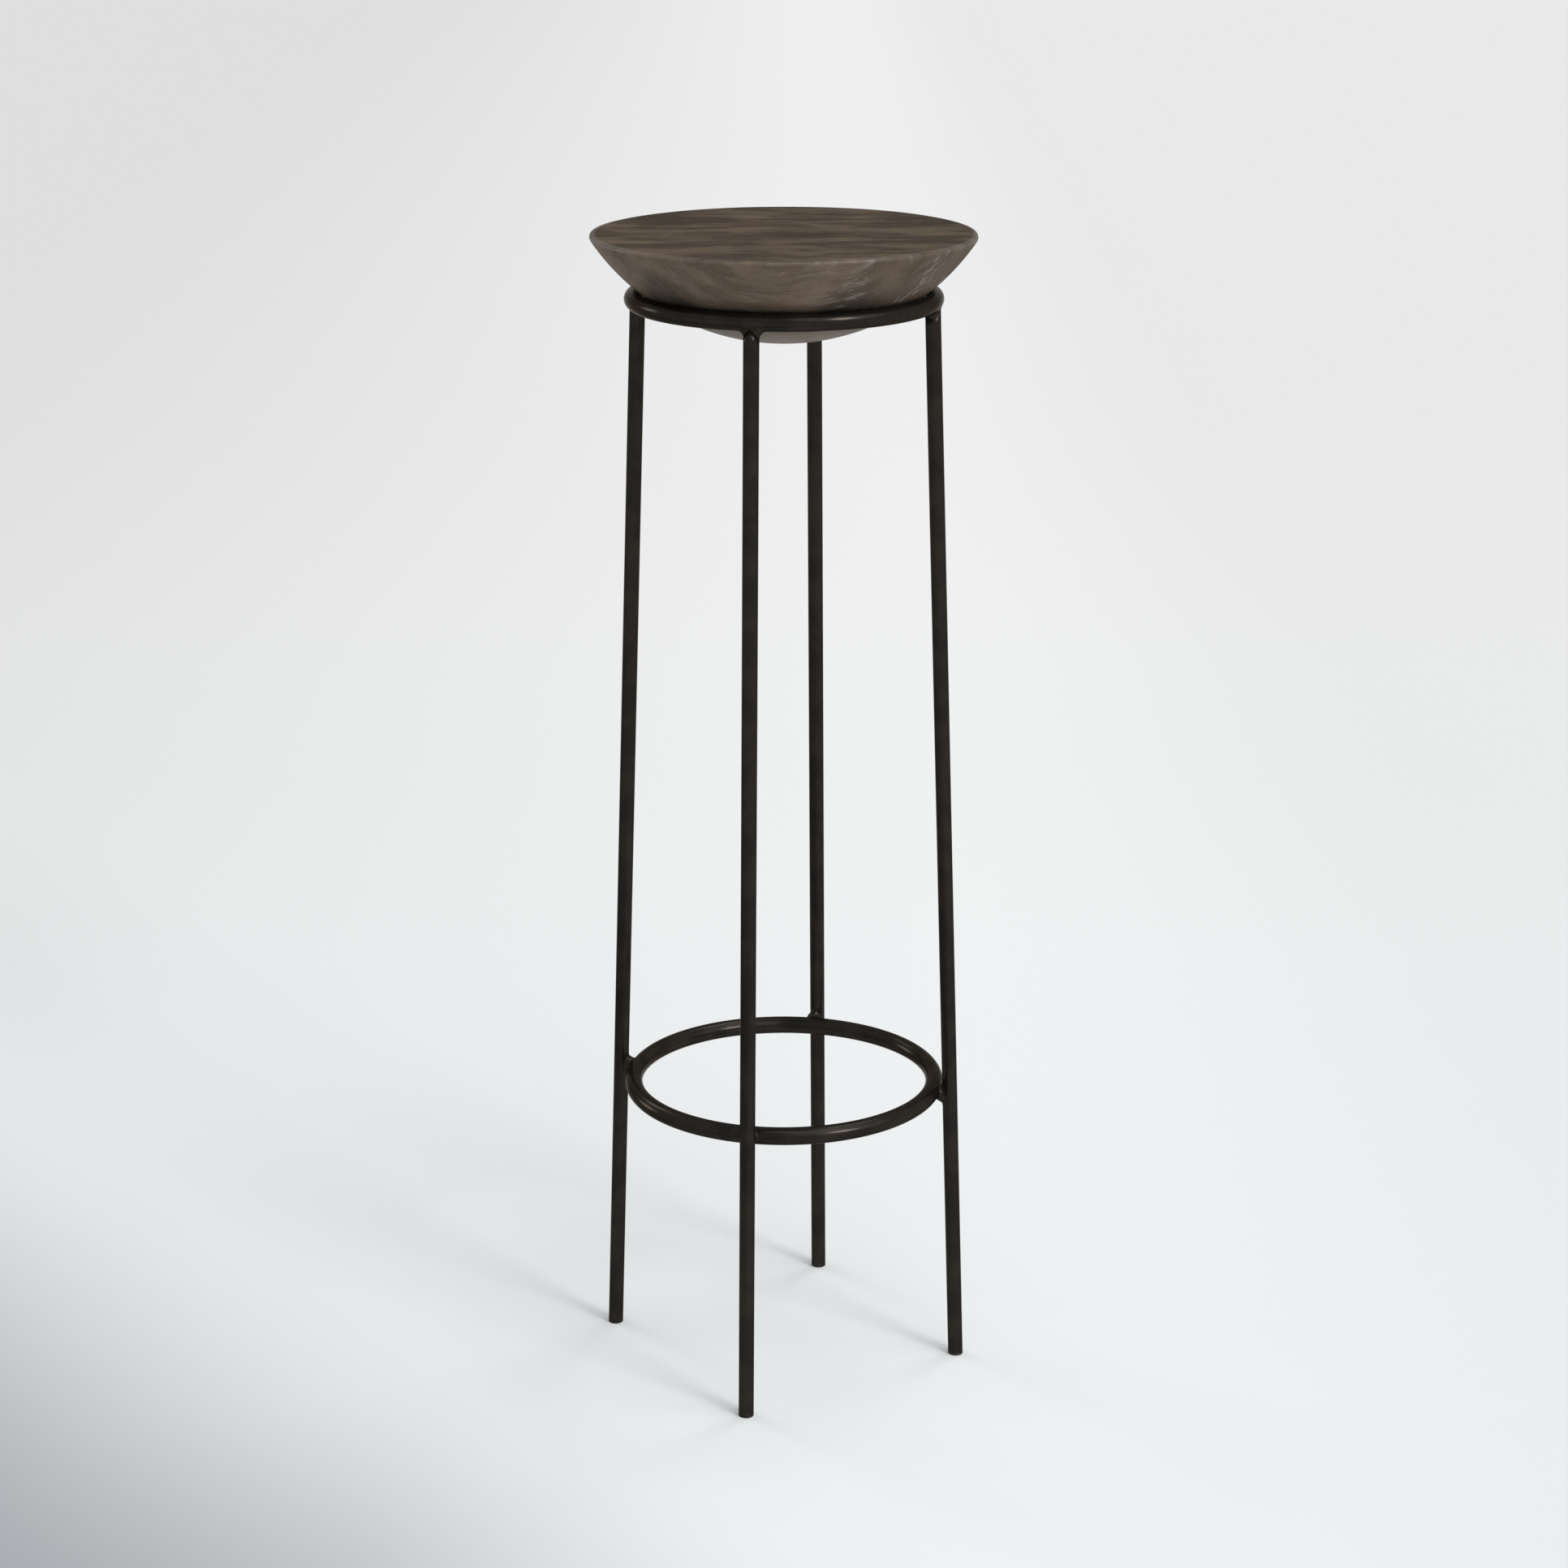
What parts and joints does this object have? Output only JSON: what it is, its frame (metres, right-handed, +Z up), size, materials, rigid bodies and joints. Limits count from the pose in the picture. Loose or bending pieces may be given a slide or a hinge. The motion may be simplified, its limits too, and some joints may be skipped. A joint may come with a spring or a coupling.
{
  "type": "plant stand",
  "caption": "Tall slender plant stand: a solid turned wooden cap with a flat top sits loose in a welded steel hoop on splayed round-bar legs tied by a lower hoop.",
  "frame": {"origin": "on the floor under the middle of the top", "axes": "+Z up; the legs stand on the +X, +Y, -X and -Y axes, and -Y is called the front"},
  "size_m": [0.3, 0.3, 0.9144],
  "materials": {
    "wood": "satin",
    "steel": "satin"
  },
  "bodies": {
    "frame": {"upper_hoop": "steel", "lower_hoop": "steel", "leg_right": "steel", "upper_weld_right": "steel", "lower_weld_right": "steel", "leg_back": "steel", "upper_weld_back": "steel", "lower_weld_back": "steel", "leg_left": "steel", "upper_weld_left": "steel", "lower_weld_left": "steel", "leg_front": "steel", "upper_weld_front": "steel", "lower_weld_front": "steel"},
    "top": {"wood_top": "wood"}
  },
  "joints": [
    {"name": "top_lift", "type": "slide", "parent": "frame", "child": "top", "axis": [0, 0, 1], "range_m": [0, 0.12]}
  ]
}
